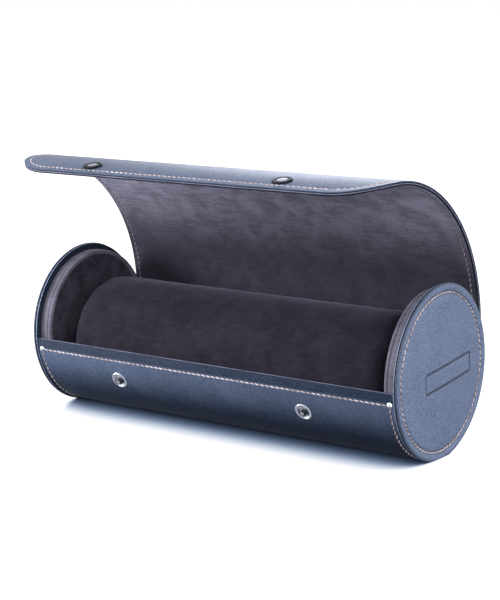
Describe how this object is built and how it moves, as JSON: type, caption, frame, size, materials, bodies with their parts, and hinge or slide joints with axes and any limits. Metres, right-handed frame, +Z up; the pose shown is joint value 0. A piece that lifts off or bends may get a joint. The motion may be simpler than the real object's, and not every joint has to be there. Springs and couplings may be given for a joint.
{
  "type": "watch roll case",
  "caption": "Cylindrical travel case for watches: a padded leather trough with round ends, a flap lid that bends over the roll and snaps shut, and a lift-out cushion roll.",
  "frame": {"origin": "middle of the pressed flat under the roll, on the surface that it stands on", "axes": "+X along the roll to its right end as seen from the open front, +Y from the front lip to the lid's hinge at the back, +Z up"},
  "size_m": [0.235, 0.1116, 0.1425],
  "materials": {
    "blue_leather": "grey-blue grained synthetic leather, satin",
    "grey_purple_suede": "grey-purple brushed microsuede, matt and mottled",
    "dark_suede": "dark brown-black microsuede, matt",
    "snap_metal": "nickel-plated, lightly worn",
    "board": "grey bookbinder's board",
    "foam": "foam"
  },
  "bodies": {
    "base": {"left_cap_face": "blue_leather", "left_cap_pad": "foam", "left_cap_board": "board", "left_cap_back": "blue_leather", "left_shoulder_suede": "grey_purple_suede", "left_shoulder_band": "board", "left_end_lining": "dark_suede", "left_end_board": "board", "right_cap_face": "blue_leather", "right_cap_pad": "foam", "right_cap_board": "board", "right_cap_back": "blue_leather", "right_shoulder_suede": "grey_purple_suede", "right_shoulder_band": "board", "right_end_lining": "dark_suede", "right_end_board": "board", "trough_leather": "blue_leather", "trough_board": "board", "trough_lining": "grey_purple_suede", "snap_studs": "snap_metal", "snap_posts": "snap_metal", "corner_rivets": "snap_metal"},
    "cushion": {"cushion_sleeve": "dark_suede", "cushion_core": "foam", "cushion_end_left": "dark_suede", "cushion_end_right": "dark_suede"},
    "lid_1": {"lid_leather_1": "blue_leather", "lid_board_1": "board", "lid_lining_1": "grey_purple_suede"},
    "lid_2": {"lid_leather_2": "blue_leather", "lid_board_2": "board", "lid_lining_2": "grey_purple_suede"},
    "lid_3": {"lid_leather_3": "blue_leather", "lid_board_3": "board", "lid_lining_3": "grey_purple_suede"},
    "lid_4": {"lid_leather_4": "blue_leather", "lid_board_4": "board", "lid_lining_4": "grey_purple_suede"},
    "lid_5": {"lid_leather_5": "blue_leather", "lid_board_5": "board", "lid_lining_5": "grey_purple_suede"},
    "lid_6": {"lid_leather_6": "blue_leather", "lid_board_6": "board", "lid_lining_6": "grey_purple_suede", "snap_caps": "snap_metal", "snap_sockets": "snap_metal"}
  },
  "joints": [
    {"name": "lid_hinge", "type": "hinge", "parent": "base", "child": "lid_1", "pos_m": [0, 0.04294, 0.05137], "axis": [-1, 0, 0], "range_deg": [-21.08, 20]},
    {"name": "lid_flex_1", "type": "hinge", "parent": "lid_1", "child": "lid_2", "pos_m": [0, 0.04041, 0.07847], "axis": [-1, 0, 0], "range_deg": [-18.38, 17.44]},
    {"name": "lid_flex_2", "type": "hinge", "parent": "lid_2", "child": "lid_3", "pos_m": [0, 0.02936, 0.10333], "axis": [-1, 0, 0], "range_deg": [-16.68, 15.82]},
    {"name": "lid_flex_3", "type": "hinge", "parent": "lid_3", "child": "lid_4", "pos_m": [0, 0.01094, 0.12336], "axis": [-1, 0, 0], "range_deg": [-15.1, 14.32]},
    {"name": "lid_flex_4", "type": "hinge", "parent": "lid_4", "child": "lid_5", "pos_m": [0, -0.01292, 0.13645], "axis": [-1, 0, 0], "range_deg": [-13.15, 12.48]},
    {"name": "lid_flex_5", "type": "hinge", "parent": "lid_5", "child": "lid_6", "pos_m": [0, -0.03971, 0.14122], "axis": [-1, 0, 0], "range_deg": [-14.81, 14.05]},
    {"name": "cushion_lift", "type": "slide", "parent": "base", "child": "cushion", "axis": [0, 0, 1], "range_m": [0, 0.012]}
  ],
  "couplings": [
    {"joint": "lid_flex_1", "follows": "lid_hinge", "ratio": 0.8712},
    {"joint": "lid_flex_2", "follows": "lid_hinge", "ratio": 0.7902},
    {"joint": "lid_flex_3", "follows": "lid_hinge", "ratio": 0.7152},
    {"joint": "lid_flex_4", "follows": "lid_hinge", "ratio": 0.6228},
    {"joint": "lid_flex_5", "follows": "lid_hinge", "ratio": 0.7017}
  ]
}
